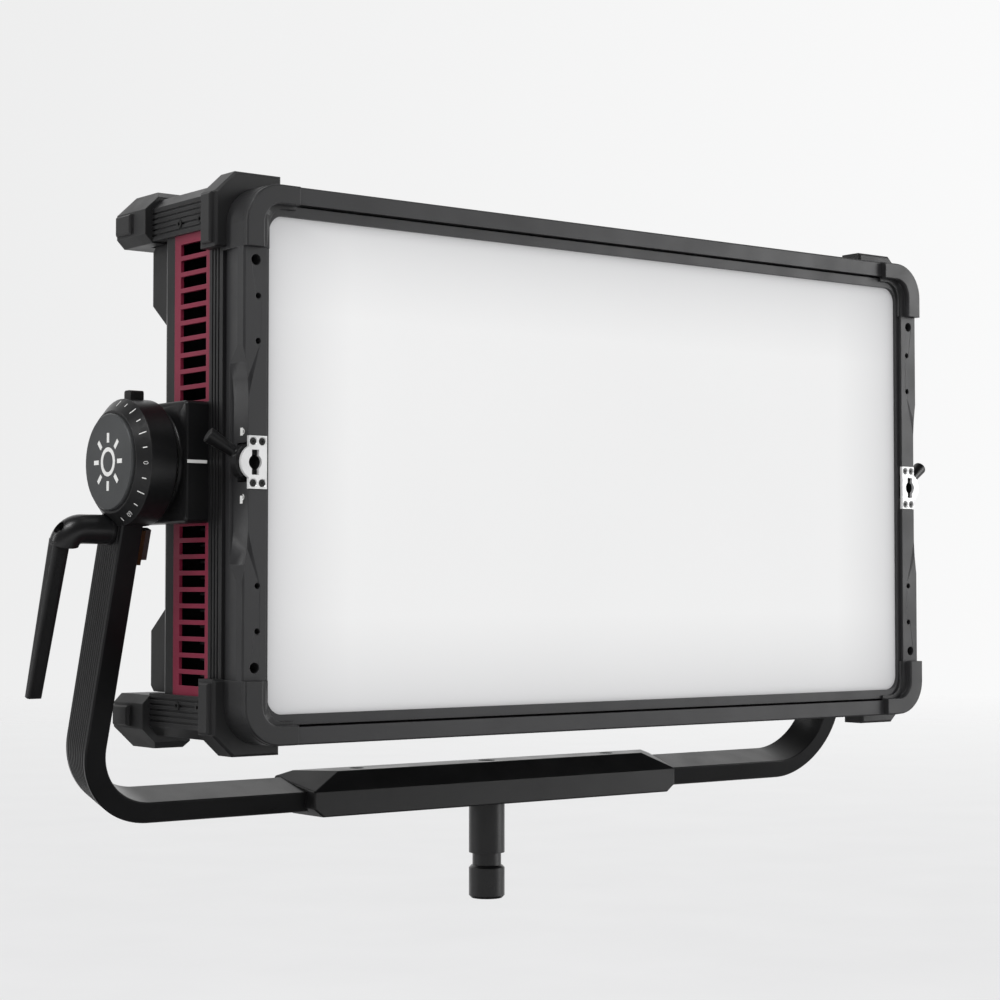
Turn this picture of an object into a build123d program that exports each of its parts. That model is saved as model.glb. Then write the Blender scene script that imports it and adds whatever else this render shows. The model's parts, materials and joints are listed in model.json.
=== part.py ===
from build123d import *
import math
import os

# A two foot by one foot LED panel light on a leaning U yoke. Millimetres, +Z up, the light faces -Y.
# The origin is on the mounting spigot's axis, where the spigot meets the underside of the yoke block.
# "out" is the distance to the side of the middle plane; right hand pieces are built and mirrored left.

# ---- yoke --------------------------------------------------------------------------------------
LEAN = 18.0              # the yoke leans back from the vertical spigot
BAR_T = 16.0             # flat bar: thickness
BAR_W = 31.0             # flat bar: width
ARM_OUT = 371.5          # outer face of the arms
ARM_IN = ARM_OUT - BAR_T
BEND_R = 59.0            # outer radius of the bends
REACH = 252.0            # tilt axis to the middle of the crossbar
BAR_Z = 16.0             # middle of the crossbar above the block's underside
TILT_Y = -REACH * math.sin(math.radians(LEAN))
TILT_Z = BAR_Z + REACH * math.cos(math.radians(LEAN))
ARM_TOP = 20.0           # the arm's square end, hidden by the drum
BEND_START = REACH + BAR_T / 2 - BEND_R

BLOCK_H = 33.0
BLOCK_FRONT = 25.0       # the block's front and rear faces, from the spigot's axis
BLOCK_BACK = 18.5
BLOCK_HALF_TOP = 152.0   # half length of the block's top at the front
BLOCK_HALF_LOW = 180.0   # half length of the block's lower half at the front
BLOCK_SCREW_X = 125.6

SPIGOT_R = 14.3          # 28.6 mm junior spigot
SPIGOT_L = 76.0
SPIGOT_SHOULDER = 40.0

# ---- tilt hubs ---------------------------------------------------------------------------------
DRUM_R = 43.0
DRUM_IN = 351.5
DIAL_OUT = 379.0
DIAL_TIP_R = 34.8
CAP_R = 32.8
CAP_OUT = 381.3
SHAFT_R = 12.0
RUNNING = 0.05           # radial clearance of a shaft in its bush
AIR = 0.3                # gap between pieces that pass each other

LEVER_DOWN = 47.4        # lever axis below the tilt axis, along the arm
LEVER_R = 10.0
LEVER_END = 393.5        # where the lever's tube turns down
ELBOW_R = 11.0
HANDLE_L = 120.0
CLAMP_R = 6.0

# ---- head, measured from the front face of the side rails and the middle of the light ---------------
FRONT_TO_TILT = 85.5     # tilt axis behind the front face
TILT_RISE = 2.4          # tilt axis above the middle of the light
HEAD_Y = TILT_Y - FRONT_TO_TILT
HEAD_Z = TILT_Z - TILT_RISE
HALF_W = 327.7
HALF_H = 187.0
SIDE_FACE = 18.0         # width of the side rails' front face
TOP_FACE = 12.0          # height of the top rail's front face
FRAME_D = 27.0
CORNER_R = 27.0
GUARD_PROUD = 4.7
GUARD_W = 13.6
GUARD_X = 286.5          # the corner guards end here along the top
GUARD_Z = 143.4          # and here along the sides
WINDOW_X = 306.5
WINDOW_Z = 166.5
WINDOW_R = 11.5
BEZEL_Y = 3.0
BEZEL_T = 3.0
DIFFUSER_T = 3.0
BOARD_Y = 55.0
SINK_Y = 57.0
FIN_TIP_Y = 78.0
BACK_Y = 107.0
MODULE_BACK_Y = 139.0
PANEL_X = 322.0          # inner face of the side panels
BAR_LOW = 157.8          # corner bars start this far above and below the chassis middle
BAR_HIGH = 187.5
BAR_IN = 303.0
BAR_OUT = 330.5
BAR_SCREW_Y = (52.0, 80.0)
FRONT_BUMPER_Y = (22.7, 43.3)
REAR_BUMPER_Y = (118.5, 165.5)
BUMPER_OUT = 336.0
BUMPER_RISE = 1.2        # middle of the bumpers' height
BUMPER_HIGH = 197.2
FRONT_BUMPER_LOW = 145.2
REAR_BUMPER_LOW = 159.2
VENT_Y = (44.4, 91.0)
VENT_FIRST = 151.3       # top of the slot farthest from the chassis middle
VENT_PITCH = 11.17
VENT_SLOT = 8.1
VENT_SLOTS = 10
BRACKET_HALF = 41.0
BRACKET_OUT = 345.0
LATCH_X = 318.7
LATCH_Z = 0.6
SCOOP_X = 323.8          # the side rail is scooped back to here beside the latch
LOCK_R = 13.2            # the lock's flange, cut away where it would reach the window
FAN_X = 155.0
FAN_HALF = 60.0
FAN_R = 57.0
SWITCH_TURN = 16.0       # the power rocker's travel in degrees
PORT_Z = -133.0          # middle of the row of controls and sockets on the lower module

os.makedirs("parts", exist_ok=True)


def save(name, shape):
    """Write one named piece."""
    export_step(shape, f"parts/{name}.step")


def block(x, y, z):
    """A box from three (low, high) pairs."""
    size = (x[1] - x[0], y[1] - y[0], z[1] - z[0])
    middle = ((x[0] + x[1]) / 2, (y[0] + y[1]) / 2, (z[0] + z[1]) / 2)
    return Pos(*middle) * Box(*size)


def rod_x(radius, x, y=0.0, z=0.0):
    """A cylinder along X between two stations."""
    middle = (x[0] + x[1]) / 2
    return Pos(middle, y, z) * Rot(0, 90, 0) * Cylinder(radius, x[1] - x[0])


def rod_y(radius, y, x=0.0, z=0.0):
    """A cylinder along Y between two stations."""
    middle = (y[0] + y[1]) / 2
    return Pos(x, middle, z) * Rot(90, 0, 0) * Cylinder(radius, y[1] - y[0])


def rod_z(radius, z, x=0.0, y=0.0):
    """A cylinder along Z between two stations."""
    return Pos(x, y, (z[0] + z[1]) / 2) * Cylinder(radius, z[1] - z[0])


def outline_xz(points, y):
    """A prism with an outline in X and Z, given anticlockwise, between two stations along Y."""
    face = make_face(Plane.XZ * Polyline(*points, close=True))
    return Pos(0, y[1], 0) * extrude(face, y[1] - y[0])


def rounded_xz(half_x, half_z, radius, y):
    """A rounded rectangle in X and Z, between two stations along Y."""
    face = Plane.XZ * RectangleRounded(2 * half_x, 2 * half_z, radius)
    return Pos(0, y[1], 0) * extrude(face, y[1] - y[0])


def cut_off(shape, point, normal):
    """Remove what lies beyond a plane, on the side its normal points to."""
    return split(shape, Plane(origin=point, z_dir=normal), keep=Keep.BOTTOM)


def left(shape):
    """The mirrored piece for the other side."""
    return mirror(shape, Plane.YZ)


def upside(shape, middle=TILT_RISE):
    """The piece mirrored about a height, which is the middle of the chassis unless given."""
    return mirror(shape, Plane.XY.offset(middle))


def joined(shapes):
    """Several solids kept as one node."""
    return Compound(children=list(shapes))


ON_YOKE = Pos(0, TILT_Y, TILT_Z) * Rot(LEAN, 0, 0)
ON_HUB = Pos(0, TILT_Y, TILT_Z)
ON_HEAD = Pos(0, HEAD_Y, HEAD_Z)


# ---- yoke: the bent flat bar in five lengths, built upright about the tilt axis -------------------

def yoke_arm():
    arm = block((ARM_IN, ARM_OUT), (-BAR_W / 2, BAR_W / 2), (-BEND_START, -ARM_TOP))
    return ON_YOKE * (arm - rod_x(DRUM_R, (ARM_IN - 1, ARM_OUT + 1)))


def yoke_bend():
    centre_x = ARM_OUT - BEND_R
    ring = rod_y(BEND_R, (-BAR_W / 2, BAR_W / 2), centre_x, -BEND_START)
    ring = ring - rod_y(BEND_R - BAR_T, (-BAR_W, BAR_W), centre_x, -BEND_START)
    corner = block((centre_x, ARM_OUT), (-BAR_W, BAR_W), (-BEND_START - BEND_R, -BEND_START))
    return ring & corner


def yoke_crossbar():
    half = ARM_OUT - BEND_R
    low = -REACH - BAR_T / 2
    return block((-half, half), (-BAR_W / 2, BAR_W / 2), (low, low + BAR_T))


def yoke_block():
    """The cast block that clamps the leaning crossbar over the upright spigot."""
    facet_y = -14.2
    facet_z = 18.8
    profile = [(-BLOCK_FRONT, 0), (BLOCK_BACK, 0), (BLOCK_BACK, 28), (BLOCK_BACK - 5, BLOCK_H),
               (facet_y, BLOCK_H), (-BLOCK_FRONT, facet_z)]
    body = extrude(make_face(Plane.YZ * Polyline(*profile, close=True)), 192, both=True)
    for side in (-1, 1):
        body = cut_off(body, (side * BLOCK_HALF_TOP, facet_y, BLOCK_H), (side * 0.332, -0.283, 0.90))
        body = cut_off(body, (side * BLOCK_HALF_LOW, -BLOCK_FRONT, 0), (side * 0.98, -0.20, 0))
        body = cut_off(body, (side * (BLOCK_HALF_LOW - 8), 0, 0), (side * 0.6, 0, -0.8))
    return fillet(body.edges(), 1.2)


def block_bolt_holes():
    """Counterbored holes down through the block and the bar."""
    holes = [rod_z(7.0, (24, BLOCK_H + 1)), rod_z(6.2, (-1, 25))]
    for side in (-1, 1):
        holes.append(rod_z(5.75, (25, BLOCK_H + 1), side * BLOCK_SCREW_X))
        holes.append(rod_z(3.4, (4, 26), side * BLOCK_SCREW_X))
    return holes


def block_screws():
    screws = []
    for side in (-1, 1):
        head = rod_z(5.2, (25, 31), side * BLOCK_SCREW_X)
        socket = Pos(side * BLOCK_SCREW_X, 0, 30) * extrude(RegularPolygon(2.6, 6), 2)
        screws.append(head - socket + rod_z(3.2, (4.5, 25), side * BLOCK_SCREW_X))
    return joined(screws)


def spigot():
    pin = rod_z(SPIGOT_R, (-SPIGOT_SHOULDER, 0)) + rod_z(11.5, (-50, -SPIGOT_SHOULDER))
    tail = Pos(0, 0, -(SPIGOT_L + 50) / 2) * chamfer(
        Cylinder(SPIGOT_R, SPIGOT_L - 50).edges().filter_by(GeomType.CIRCLE), 2.0)
    return pin + tail - rod_z(6.2, (-26, 1))


def spigot_bolt():
    head = Pos(0, 0, 24) * extrude(RegularPolygon(6.4, 6), 6)
    return head + rod_z(6.0, (-25, 24))


# ---- tilt hubs, on the yoke's side ------------------------------------------------------------------

def drum():
    body = rod_x(DRUM_R, (DRUM_IN, ARM_OUT))
    body = fillet(body.edges().filter_by(GeomType.CIRCLE).sort_by(Axis.X)[0], 2.0)
    return ON_HUB * (body - rod_x(15.0, (DRUM_IN - 1, ARM_OUT + 1)))


def clamp_way(radius, x):
    """Room for the clamp screw, or for the lever's tube, between two stations."""
    return ON_YOKE * rod_x(radius, x, 0, -LEVER_DOWN)


def catch_pocket():
    return ON_HUB * block((356.7, 367.3), (-4.8, 4.8), (30, DRUM_R + 1))


def release_catch():
    tab = block((357, 367), (-4.5, 4.5), (34.0, 49.0))
    return ON_HUB * fillet(tab.edges().filter_by(Axis.X).group_by(Axis.Z)[-1], 1.8)


def angle_dial():
    cone = Pos(ARM_OUT, 0, 0) * Rot(0, 90, 0) * Pos(0, 0, (DIAL_OUT - ARM_OUT) / 2) * Cone(
        DRUM_R, DIAL_TIP_R, DIAL_OUT - ARM_OUT)
    return ON_HUB * (cone - rod_x(CAP_R + 0.2, (ARM_OUT - 1, DIAL_OUT + 1)))


def hub_cap():
    cap = rod_x(CAP_R, (377.0, CAP_OUT))
    cap = chamfer(cap.edges().filter_by(GeomType.CIRCLE).sort_by(Axis.X)[-1], 0.8)
    return ON_HUB * cap


def bushing():
    return ON_HUB * (rod_x(15.0, (DRUM_IN, ARM_OUT)) - rod_x(SHAFT_R + RUNNING, (DRUM_IN - 1, ARM_OUT + 1)))


def friction_washer():
    washer = rod_x(36.0, (348.3, DRUM_IN)) - rod_x(SHAFT_R + 1.5, (348, DRUM_IN + 1))
    return ON_HUB * washer


def shoe_layer(x, down, width):
    """One layer of the brake shoe, notched at the top for the clamp screw."""
    plate = block(x, (-width / 2, width / 2), (-down[1], -down[0]))
    return ON_YOKE * (plate - rod_x(CLAMP_R + AIR, (x[0] - 1, x[1] + 1), 0, -LEVER_DOWN))


# ---- tilt lock lever, left side only ----------------------------------------------------------------

def clamp_screw():
    rod = rod_x(CLAMP_R, (DRUM_IN, LEVER_END - 4), 0, -LEVER_DOWN)
    return ON_YOKE * rod


def tilt_lever():
    tube = rod_x(LEVER_R, (ARM_OUT + 0.6, LEVER_END), 0, -LEVER_DOWN)
    bend = Plane.XZ * RadiusArc((LEVER_END, -LEVER_DOWN), (LEVER_END + ELBOW_R, -LEVER_DOWN - ELBOW_R), ELBOW_R)
    elbow = sweep(Plane(origin=(LEVER_END, 0, -LEVER_DOWN), z_dir=(1, 0, 0)) * Circle(LEVER_R), path=bend)
    top = Plane(origin=(LEVER_END + ELBOW_R + 3.5, 0, -LEVER_DOWN - ELBOW_R + 3), z_dir=(0, 0, -1))
    tip = Plane(origin=(LEVER_END + ELBOW_R + 5.0, 0, -LEVER_DOWN - HANDLE_L), z_dir=(0, 0, -1))
    handle = loft([top * RectangleRounded(12.5, 12, 3.5), tip * RectangleRounded(11, 6, 2)])
    collar = rod_x(LEVER_R + 0.5, (ARM_OUT + 0.6, ARM_OUT + 3), 0, -LEVER_DOWN)
    lever = tube + elbow + handle + collar
    lever = lever - rod_x(CLAMP_R + RUNNING, (ARM_OUT, LEVER_END - 3), 0, -LEVER_DOWN)
    socket = Pos(LEVER_END + 16, 0, -LEVER_DOWN + 0.5) * Rot(0, 60, 0) * Cylinder(4.2, 9)
    return ON_YOKE * (lever - socket)


# ---- head: front frame ------------------------------------------------------------------------------

def side_rail():
    rail = block((HALF_W - SIDE_FACE, HALF_W), (0, FRAME_D), (-GUARD_Z, GUARD_Z))
    edge = [(HALF_W + 1, 84), (SCOOP_X + 2.2, 67), (SCOOP_X + 0.8, 56), (SCOOP_X, 44)]
    mirrored = [(x, -z) for x, z in reversed(edge)]
    rail = rail - outline_xz(edge + mirrored, (-1, 20))
    rail = rail - block((300, HALF_W + 1), (-1, 2.0), (LATCH_Z - 17.8, LATCH_Z + 17.8))
    rail = rail - rod_y(LOCK_R + 0.8, (1.9, 14), LATCH_X, LATCH_Z)
    rail = cut_off(rail, (HALF_W, 8, 0), (0.99, 0.14, 0))
    for x, z, radius in rail_holes():
        rail = rail - rod_y(radius, (-1, 16), x, z)
    return chamfer(rail.edges().filter_by(Axis.Z).group_by(Axis.Y)[0].group_by(Axis.X)[-1], 1.2)


def rail_holes():
    """Small M4 holes and larger accessory holes up the side rails: (x, z, radius)."""
    rows = [(316.5, 81.0, 2.1), (316.5, 111.0, 2.1), (318.5, 135.0, 3.6)]
    return [(x, side * z, radius) for x, z, radius in rows for side in (-1, 1)]


def top_rail():
    rail = block((-GUARD_X, GUARD_X), (0, FRAME_D), (HALF_H - TOP_FACE, HALF_H))
    return chamfer(rail.edges().filter_by(Axis.X).group_by(Axis.Y)[0].group_by(Axis.Z)[-1], 1.0)


def corner_guard():
    """A cast corner: the frame's rounded corner with a raised guard on its front."""
    ring = rounded_xz(HALF_W, HALF_H, CORNER_R, (0, FRAME_D))
    ring = ring - rounded_xz(HALF_W - SIDE_FACE, HALF_H - TOP_FACE, 9.0, (-1, FRAME_D + 1))
    raised = rounded_xz(HALF_W + 0.4, HALF_H - 0.6, CORNER_R, (-GUARD_PROUD, 0))
    raised = raised - rounded_xz(HALF_W - GUARD_W, HALF_H - GUARD_W, CORNER_R - GUARD_W, (-GUARD_PROUD - 1, 1))
    raised = fillet(raised.edges().group_by(Axis.Y)[0], 1.0)
    ledge = rounded_xz(HALF_W - SIDE_FACE + 1, HALF_H - TOP_FACE + 1, 10.0, (1.2, BEZEL_Y))
    ledge = ledge - rounded_xz(WINDOW_X + 0.8, WINDOW_Z + 4.5, WINDOW_R + 1, (0, BEZEL_Y + 1))
    casting = (ring + raised) & block((GUARD_X, HALF_W + 5), (-10, 40), (GUARD_Z, HALF_H + 5))
    return casting + (ledge & block((GUARD_X - 0.1, HALF_W), (0, 40), (GUARD_Z, HALF_H - 5)))


def bezel():
    outer = rounded_xz(HALF_W - SIDE_FACE - 0.2, 173.6, 9.0, (BEZEL_Y, BEZEL_Y + BEZEL_T))
    return outer - rounded_xz(WINDOW_X, WINDOW_Z, WINDOW_R, (0, BEZEL_Y + BEZEL_T + 1))


def diffuser():
    start = BEZEL_Y + BEZEL_T
    return rounded_xz(308.0, 172.0, 9.0, (start, start + DIFFUSER_T))


# ---- head: light engine -------------------------------------------------------------------------------

def mixing_box():
    y = (BEZEL_Y + BEZEL_T + DIFFUSER_T, BOARD_Y)
    return rounded_xz(308.0, 172.0, 8.0, y) - rounded_xz(305.5, 169.5, 6.0, (y[0] - 1, y[1] + 1))


def led_emitters():
    """A grid of square LED packages on the board."""
    chips = []
    for column in range(14):
        for row in range(8):
            x = (column - 6.5) * 42.0
            z = (row - 3.5) * 42.0 * 0.98
            chips.append(Pos(x, BOARD_Y - 0.9, z) * Box(7, 1.8, 7))
    return joined(chips)


def led_board():
    return block((-304, 304), (BOARD_Y, SINK_Y), (-168, 168))


def heat_sink():
    """Base plate with fins that run across to the side vents."""
    sink = block((-308, 308), (SINK_Y, 62), (-170, 170))
    for index in range(-13, 14):
        z = index * 11.15 + TILT_RISE
        sink = sink + block((-314, 314), (61.9, FIN_TIP_Y), (z - 0.8, z + 0.8))
    return sink


# ---- head: chassis -----------------------------------------------------------------------------------

def side_panel():
    """Ribbed front strip, pad behind the tilt bracket and rear strip."""
    low = TILT_RISE - BAR_LOW
    high = TILT_RISE + BAR_LOW
    panel = block((PANEL_X, HALF_W), (FRAME_D, BACK_Y - 2), (low, high))
    for y in (32.0, 36.0, 40.0):
        panel = panel - block((HALF_W - 1.4, HALF_W + 1), (y - 0.9, y + 0.9), (low - 1, high + 1))
    panel = cut_off(panel, (HALF_W, 101.5, 0), (0.917, 0.4, 0))
    window = block((PANEL_X - 1, HALF_W + 1), VENT_Y, (TILT_RISE + BRACKET_HALF, high + 1))
    return panel - window - upside(window)


def side_vents():
    """The two red slotted plates of one side."""
    plates = []
    margin = (48.5, 83.0)
    plate = block((HALF_W - 2.5, HALF_W), VENT_Y, (TILT_RISE + BRACKET_HALF, TILT_RISE + BAR_LOW))
    for index in range(VENT_SLOTS):
        top = TILT_RISE + VENT_FIRST - index * VENT_PITCH
        plate = plate - block((HALF_W - 4, HALF_W + 1), margin, (top - VENT_SLOT, top))
    plates.append(plate)
    plates.append(upside(plate))
    return joined(plates)


def wall_panel():
    """Top skin between the corner bars."""
    return block((-BAR_IN, BAR_IN), (FRAME_D, BACK_Y - 2), (TILT_RISE + 178, TILT_RISE + 180.5))


def corner_bar():
    """Ribbed square bar along one corner of the chassis."""
    y = (FRONT_BUMPER_Y[1], REAR_BUMPER_Y[0])
    low = TILT_RISE + BAR_LOW
    high = TILT_RISE + BAR_HIGH
    skin = TILT_RISE + 178.2
    corner = [(PANEL_X + 0.2, low), (BAR_OUT, low), (BAR_OUT, high - 7), (BAR_OUT - 7, high), (BAR_IN, high),
              (BAR_IN, skin), (PANEL_X + 0.2, skin)]
    bar = outline_xz(corner, y)
    for index in range(5):
        z = low + 3.6 + index * 3.8
        bar = bar - block((BAR_OUT - 1.2, BAR_OUT + 1), (y[0] - 1, y[1] + 1), (z - 0.7, z + 0.7))
        x = BAR_OUT - 10.5 - index * 3.6
        bar = bar - block((x - 0.7, x + 0.7), (y[0] - 1, y[1] + 1), (high - 1.2, high + 1))
    for station in BAR_SCREW_Y:
        bar = bar - rod_x(3.0, (BAR_OUT - 1.2, BAR_OUT + 1), station, low + 7.4)
    return bar


def front_bumper():
    """A corner block with a raised pad on its side, before the frame is cut out of it."""
    shape = [(284.5, BUMPER_HIGH), (284.5, FRONT_BUMPER_LOW), (BUMPER_OUT, FRONT_BUMPER_LOW),
             (BUMPER_OUT, BUMPER_HIGH - 14.5), (320.5, BUMPER_HIGH)]
    body = outline_xz(shape, FRONT_BUMPER_Y)
    body = chamfer(body.edges().group_by(Axis.Y)[0], 1.5)
    body = fillet(body.edges().group_by(Axis.Y)[-1], 1.5)
    pad = block((BUMPER_OUT, BUMPER_OUT + 3.5), (25.0, 37.5), (FRONT_BUMPER_LOW + 2.5, BUMPER_HIGH - 15.5))
    pad = chamfer(pad.edges().group_by(Axis.X)[-1], 1.2)
    return body + pad


def front_bumpers():
    """The four corner blocks, fitted round the frame and the chassis behind it."""
    frame = rounded_xz(HALF_W, HALF_H, CORNER_R, (0, FRAME_D))
    chassis = block((-HALF_W, HALF_W), (FRAME_D - 1, 60), (TILT_RISE - 180.5, TILT_RISE + 180.5))
    blocks = [front_bumper(), upside(front_bumper(), BUMPER_RISE)]
    fitted = [corner - frame - chassis for corner in blocks]
    return joined(fitted + [left(corner) for corner in fitted])


def rear_bumper():
    """An end block over the corner bar, chamfered all round, with a raised pad on its side."""
    low = REAR_BUMPER_LOW
    shape = [(298, BUMPER_HIGH), (298, low), (BUMPER_OUT - 6, low), (BUMPER_OUT, low + 6),
             (BUMPER_OUT, BUMPER_HIGH - 14.5), (320.5, BUMPER_HIGH)]
    body = outline_xz(shape, REAR_BUMPER_Y)
    body = chamfer(body.edges().group_by(Axis.Y)[-1], 6.0)
    body = cut_off(body, (0, REAR_BUMPER_Y[0], BUMPER_HIGH - 5), (0, -0.45, 0.9))
    body = body - block((200, PANEL_X - 2), (100, MODULE_BACK_Y + AIR), (100, 165))
    pad = block((BUMPER_OUT, BUMPER_OUT + 3), (136, 157), (low + 8, BUMPER_HIGH - 16))
    return body + chamfer(pad.edges().group_by(Axis.X)[-1], 1.2)


def rear_cover():
    """The back plate, with an opening for each fan."""
    plate = block((-PANEL_X, PANEL_X), (BACK_Y - 2, BACK_Y), (TILT_RISE - 178, TILT_RISE + 178))
    for side in (-1, 1):
        plate = plate - rod_y(FAN_R, (BACK_Y - 3, BACK_Y + 1), side * FAN_X, TILT_RISE)
    return plate


def module_shell(half_x, top, bottom, slope):
    """A shallow closed housing on the back plate, with one sloping edge towards the middle."""
    edge = [(BACK_Y, bottom), (BACK_Y, top), (MODULE_BACK_Y - 4, top), (MODULE_BACK_Y, top - 4),
            (MODULE_BACK_Y, bottom + slope)]
    wall = 2.5
    inner = [(BACK_Y - 1, bottom + 4), (BACK_Y - 1, top - wall), (MODULE_BACK_Y - wall, top - 4 - wall),
             (MODULE_BACK_Y - wall, bottom + slope + 1)]
    shell = extrude(make_face(Plane.YZ * Polyline(*edge, close=True)), half_x, both=True)
    hollow = extrude(make_face(Plane.YZ * Polyline(*inner, close=True)), half_x - wall, both=True)
    return shell - hollow


def power_module():
    return module_shell(318.0, TILT_RISE + 157.5, TILT_RISE + 90.0, 25.0)


def control_module():
    shell = upside(power_module())
    openings = [block((-112, 112), (MODULE_BACK_Y - 3, MODULE_BACK_Y + 1), (PORT_Z - 17, PORT_Z + 17)),
                block((182, 214), (MODULE_BACK_Y - 3, MODULE_BACK_Y + 1), (PORT_Z - 14, PORT_Z + 14)),
                block((238, 262), (MODULE_BACK_Y - 3, MODULE_BACK_Y + 1), (PORT_Z - 11, PORT_Z + 11))]
    for x in (-250, -205):
        openings.append(rod_y(12.2, (MODULE_BACK_Y - 3, MODULE_BACK_Y + 1), x, PORT_Z))
    for opening in openings:
        shell = shell - opening
    return shell


def psu_board():
    """The power supply's board with its transformer, chokes and capacitors."""
    board = block((-290, 290), (112, 113.6), (TILT_RISE + 100, TILT_RISE + 150))
    for index, x in enumerate(range(-260, 261, 52)):
        depth = 14 + 5 * (index % 3) - 4
        board = board + block((x - 14, x + 14), (113.5, 113.6 + depth), (TILT_RISE + 122, TILT_RISE + 146))
    return board


def driver_board():
    board = block((-290, 290), (112, 113.6), (TILT_RISE - 150, TILT_RISE - 104))
    for x in range(-240, 241, 60):
        board = board + block((x - 9, x + 9), (113.5, 121), (PORT_Z - 9, PORT_Z + 9))
    return board


# ---- head: tilt brackets --------------------------------------------------------------------------

def tilt_bracket():
    y = FRONT_TO_TILT
    half = BRACKET_HALF
    body = block((HALF_W, BRACKET_OUT), (y - half, y + half), (TILT_RISE - half, TILT_RISE + half))
    body = fillet(body.edges().filter_by(Axis.X), 3.0)
    body = chamfer(body.edges().group_by(Axis.X)[-1], 1.5)
    body = body + rod_x(37.0, (BRACKET_OUT, 348.0), y, TILT_RISE)
    return body - rod_x(SHAFT_R + 0.02, (331.9, 350), y, TILT_RISE)


def trunnion():
    """The tilt axle, with its nut inside the hub cap."""
    shaft = rod_x(SHAFT_R, (332, 372), FRONT_TO_TILT, TILT_RISE)
    nut = Pos(372, FRONT_TO_TILT, TILT_RISE) * Rot(0, 90, 0) * extrude(RegularPolygon(18, 6), 4)
    return shaft + nut


def bar_screws():
    """Button screws into the corner bars and the side panels."""
    screws = []
    for y in BAR_SCREW_Y:
        height = TILT_RISE + BAR_LOW + 7.4
        screw = rod_x(3.0, (BAR_OUT - 1.2, BAR_OUT + 0.8), y, height)
        screw = screw - Pos(BAR_OUT - 0.4, y, height) * Rot(0, 90, 0) * extrude(RegularPolygon(1.5, 6), 2)
        screws += [screw, upside(screw), left(screw), left(upside(screw))]
    return screws


# ---- head: accessory latches ----------------------------------------------------------------------

def keyhole(y):
    """Round middle with an upright slot."""
    slot = block((LATCH_X - 2.7, LATCH_X + 2.7), y, (LATCH_Z - 8.3, LATCH_Z + 8.3))
    return rod_y(5.0, y, LATCH_X, LATCH_Z) + slot


def accessory_plate():
    y = (-0.6, 2.0)
    lobe = rod_y(11.8, y, LATCH_X - 0.8, LATCH_Z) - block((300, HALF_W - SIDE_FACE), (-2, 4), (-20, 20))
    plate = block((HALF_W - SIDE_FACE, 323.6), y, (LATCH_Z - 17.6, LATCH_Z + 17.6)) + lobe
    plate = plate - keyhole((-2, 4))
    for x, z in latch_screw_places():
        plate = plate - rod_y(1.7, (-2, 4), x, z) - Pos(x, 0.3, z) * Rot(90, 0, 0) * Cone(1.7, 3.0, 1.9)
    return plate


def latch_screw_places():
    return [(x, LATCH_Z + z) for x in (313.2, 320.2) for z in (-13.8, 13.8)]


def latch_screws():
    screws = []
    for x, z in latch_screw_places():
        shank = rod_y(1.5, (0.6, 2.0), x, z)
        head = Pos(x, 0.55, z) * Rot(90, 0, 0) * Cone(1.5, 2.4, 1.2)
        hex_socket = Pos(x, 0.7, z) * Rot(90, 0, 0) * extrude(RegularPolygon(1.1, 6), 1.0)
        screws += [shank + head - hex_socket, left(shank + head - hex_socket)]
    return screws


def accessory_lock():
    """A rotary lock behind the plate, with a tapered finger lever that points outwards and up."""
    y = (2.6, 10.0)
    turns = [math.radians(angle) for angle in (-50, 0, 60, 126)]
    wedge = [(0, 0)] + [(26 * math.cos(turn), 26 * math.sin(turn)) for turn in turns]
    flange = rod_y(LOCK_R, y, LATCH_X, LATCH_Z) & Pos(LATCH_X, 0, LATCH_Z) * outline_xz(wedge, (0, 12))
    disc = rod_y(8.7, y, LATCH_X, LATCH_Z) + flange
    reach = Plane(origin=(LATCH_X, 6.5, LATCH_Z), z_dir=(28, 7, 18))
    lever = reach * Pos(0, 0, 20) * Cone(3.4, 5.4, 28)
    lever = fillet(lever.edges().filter_by(GeomType.CIRCLE).sort_by(Axis.X)[-1], 0.8)
    return disc + lever - rod_y(5.2, (0, 12), LATCH_X, LATCH_Z)


# ---- head: fans, controls and sockets ---------------------------------------------------------------

def fan_frame():
    y = (BACK_Y - 27, BACK_Y - 2)
    middle = (FAN_X, TILT_RISE)
    frame = block((FAN_X - FAN_HALF, FAN_X + FAN_HALF), y, (TILT_RISE - FAN_HALF, TILT_RISE + FAN_HALF))
    frame = frame - rod_y(FAN_R, (y[0] - 1, y[1] + 1), *middle)
    hub = rod_y(17, (y[0], y[0] + 4), *middle)
    for angle in range(0, 360, 90):
        strut = Pos(FAN_X, y[0] + 2, TILT_RISE) * Rot(0, angle + 45, 0) * Pos(37, 0, 0) * Box(44, 4, 4)
        hub = hub + strut
    return frame + hub


def fan_rotor():
    """Hub with seven pitched blades."""
    middle = (FAN_X, TILT_RISE)
    rotor = rod_y(19, (BACK_Y - 22, BACK_Y - 5), *middle)
    for index in range(7):
        blade = Rot(0, index * 360 / 7, 0) * Pos(36, 0, 0) * Rot(38, 0, 0) * Box(36, 2, 20)
        rotor = rotor + Pos(FAN_X, BACK_Y - 13.5, TILT_RISE) * blade
    return rotor


def fan_grille():
    """Rings and spokes over the fan opening."""
    y = (BACK_Y, BACK_Y + 2.2)
    grille = rod_y(61, y, FAN_X, TILT_RISE) - rod_y(56, (y[0] - 1, y[1] + 1), FAN_X, TILT_RISE)
    for radius in (12, 23, 34, 45):
        ring = rod_y(radius + 1.2, y, FAN_X, TILT_RISE) - rod_y(radius - 1.2, (y[0] - 1, y[1] + 1), FAN_X, TILT_RISE)
        grille = grille + ring
    for angle in (0, 60, 120):
        grille = grille + Pos(FAN_X, BACK_Y + 1.1, TILT_RISE) * Rot(0, angle, 0) * Box(114, 2.2, 3)
    return grille


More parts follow.
